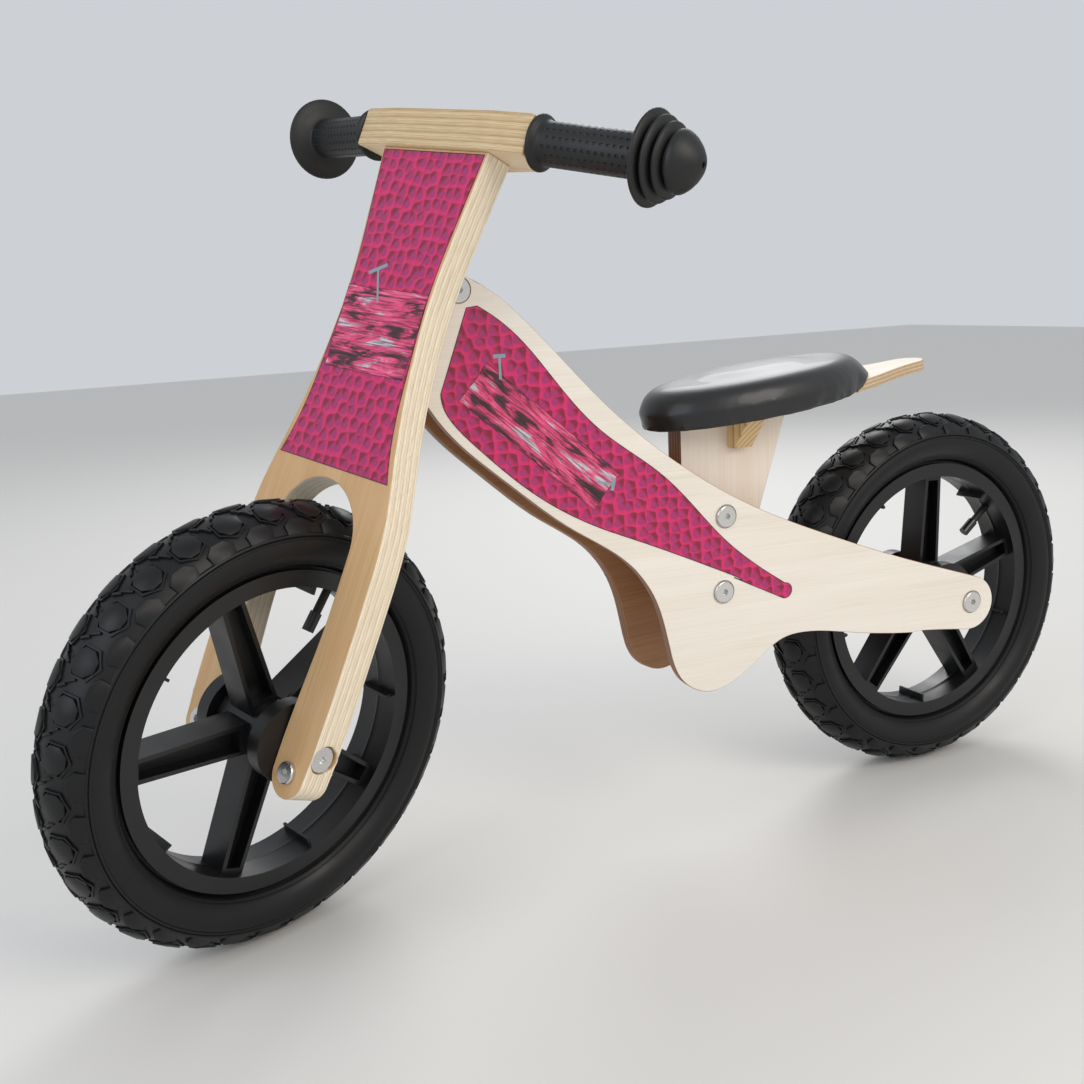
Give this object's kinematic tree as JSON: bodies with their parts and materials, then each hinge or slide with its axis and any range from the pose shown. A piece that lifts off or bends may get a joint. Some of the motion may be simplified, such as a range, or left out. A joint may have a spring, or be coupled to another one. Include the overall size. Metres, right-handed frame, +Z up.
{
  "type": "balance bike",
  "caption": "Wooden balance bike with splayed plywood side panels, hinged plywood fork and handlebar, padded seat and spoked pneumatic wheels.",
  "frame": {"origin": "on the ground under the middle of the whole bike's box, with the handlebar turned part way left as stored", "axes": "+X forward along the frame, +Y to the rider's left, +Z up"},
  "size_m": [0.9011, 0.371, 0.5818],
  "materials": {
    "sticker": "satin printed vinyl",
    "panel_ply": "clear matt lacquer",
    "board_ply": "clear matt lacquer",
    "seat_ply": "clear matt lacquer",
    "pine": "planed",
    "beech": "planed",
    "tyre": "moulded rubber",
    "tube_rubber": "matt",
    "grip_rubber": "matt",
    "cap_plastic": "satin",
    "rim_plastic": "satin moulded",
    "spacer_plastic": "satin moulded",
    "nylon": "natural",
    "seat_leatherette": "fine grain",
    "steel": "ground",
    "bracket_steel": "black powder coat",
    "zinc_steel": "bright zinc"
  },
  "bodies": {
    "frame": {"head_block": "beech", "head_bolts": "zinc_steel", "head_dowels": "beech", "head_nuts": "zinc_steel", "left_panel_sticker": "sticker", "left_post_packer": "seat_ply", "left_rear_spacer": "spacer_plastic", "left_seat_gusset": "pine", "left_side_panel": "panel_ply", "lower_steering_bush": "nylon", "post_bolts": "zinc_steel", "post_nuts": "zinc_steel", "rear_axle": "zinc_steel", "rear_axle_nut": "zinc_steel", "right_panel_sticker": "sticker", "right_post_packer": "seat_ply", "right_rear_spacer": "spacer_plastic", "right_seat_gusset": "pine", "right_side_panel": "panel_ply", "seat_board": "seat_ply", "seat_cushion": "seat_leatherette", "seat_post": "seat_ply", "seat_screws": "zinc_steel", "upper_steering_bush": "nylon"},
    "steering": {"fork_board": "board_ply", "fork_sticker": "sticker", "handlebar_block": "board_ply", "handlebar_bolts": "zinc_steel", "left_handlebar_rod": "bracket_steel", "right_handlebar_rod": "bracket_steel", "left_grip": "grip_rubber", "right_grip": "grip_rubber", "upper_hinge_bracket": "bracket_steel", "lower_hinge_bracket": "bracket_steel", "bracket_screws": "bracket_steel", "steering_pin": "steel", "steering_pin_nut": "steel", "leg_bolts": "zinc_steel", "leg_nuts": "zinc_steel", "left_front_disc": "spacer_plastic", "right_front_disc": "spacer_plastic", "front_axle_washers": "zinc_steel", "front_axle": "zinc_steel", "front_axle_nut": "zinc_steel"},
    "front_wheel": {"front_inner_tube": "tube_rubber", "front_left_bearing": "steel", "front_right_bearing": "steel", "front_rim": "rim_plastic", "front_tyre": "tyre", "front_valve_cap": "cap_plastic", "front_valve_stem": "tube_rubber"},
    "rear_wheel": {"rear_inner_tube": "tube_rubber", "rear_left_bearing": "steel", "rear_right_bearing": "steel", "rear_rim": "rim_plastic", "rear_tyre": "tyre", "rear_valve_cap": "cap_plastic", "rear_valve_stem": "tube_rubber"}
  },
  "joints": [
    {"name": "steering_turn", "type": "hinge", "parent": "frame", "child": "steering", "pos_m": [0.2804, -0.00169, 0.14647], "axis": [-0.3971, 0, 0.9178], "range_deg": [-55.5, 14.5]},
    {"name": "front_wheel_spin", "type": "hinge", "parent": "steering", "child": "front_wheel", "pos_m": [0.30103, 0.00671, 0.1554], "axis": [-0.3214, 0.9367, -0.1391], "continuous": true},
    {"name": "rear_wheel_spin", "type": "hinge", "parent": "frame", "child": "rear_wheel", "pos_m": [-0.29457, -0.00169, 0.156], "axis": [0, 1, 0], "continuous": true}
  ]
}
